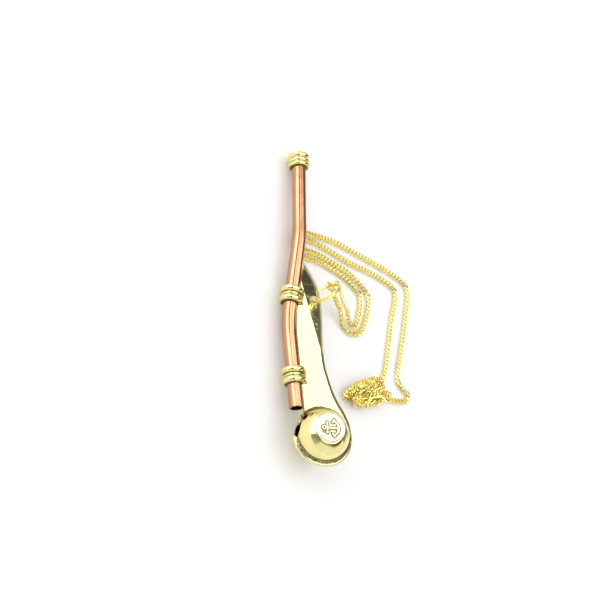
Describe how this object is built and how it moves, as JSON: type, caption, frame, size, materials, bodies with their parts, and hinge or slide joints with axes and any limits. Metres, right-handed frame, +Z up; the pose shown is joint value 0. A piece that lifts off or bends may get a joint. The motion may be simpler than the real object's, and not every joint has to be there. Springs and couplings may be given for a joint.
{
  "type": "boatswain's call",
  "caption": "Boatswain's call: a bent copper tube over a hollow slotted brass ball on a flat keel, with ringed collars, anchor medallions and a neck chain on a split ring.",
  "frame": {"origin": "on the table, under the middle of the call as it lies on its side, without its chain", "axes": "+X along the call towards the mouth end, +Y from the keel's free edge towards the tube, +Z up from the table"},
  "size_m": [0.1272, 0.0728, 0.0211],
  "materials": {
    "copper": "polished copper",
    "brass": "polished",
    "keel_brass": "polished",
    "pale_brass": "polished, worn pale",
    "chain_brass": "bright"
  },
  "bodies": {
    "call": {"gun_tube": "copper", "mouth_lip": "brass", "mouth_bead_upper": "brass", "mouth_bead_lower": "brass", "middle_collar_bead_upper": "brass", "middle_collar_band": "brass", "middle_collar_bead_lower": "brass", "low_collar_bead_upper": "brass", "low_collar_band": "brass", "low_collar_bead_lower": "brass", "keel_plate": "keel_brass", "ball_shell_front": "brass", "ball_shell_back": "brass", "medallion_front": "pale_brass", "medallion_back": "pale_brass", "chain_run_left": "chain_brass", "chain_run_right": "chain_brass", "chain_heap": "chain_brass"},
    "chain_ends": {"chain_end_link_left": "chain_brass", "chain_end_link_right": "chain_brass"},
    "ring": {"split_ring": "chain_brass"}
  },
  "joints": [
    {"name": "ring_swing", "type": "hinge", "parent": "call", "child": "chain_ends", "pos_m": [0.00115, 0.00055, 0.00791], "axis": [0.0269, 0.3917, 0.9197], "range_deg": [-70, 20]},
    {"name": "ring_turn", "type": "hinge", "parent": "chain_ends", "child": "ring", "pos_m": [0.00542, -0.00376, 0.00962], "axis": [0.6617, 0.7275, 0.1813], "continuous": true}
  ]
}
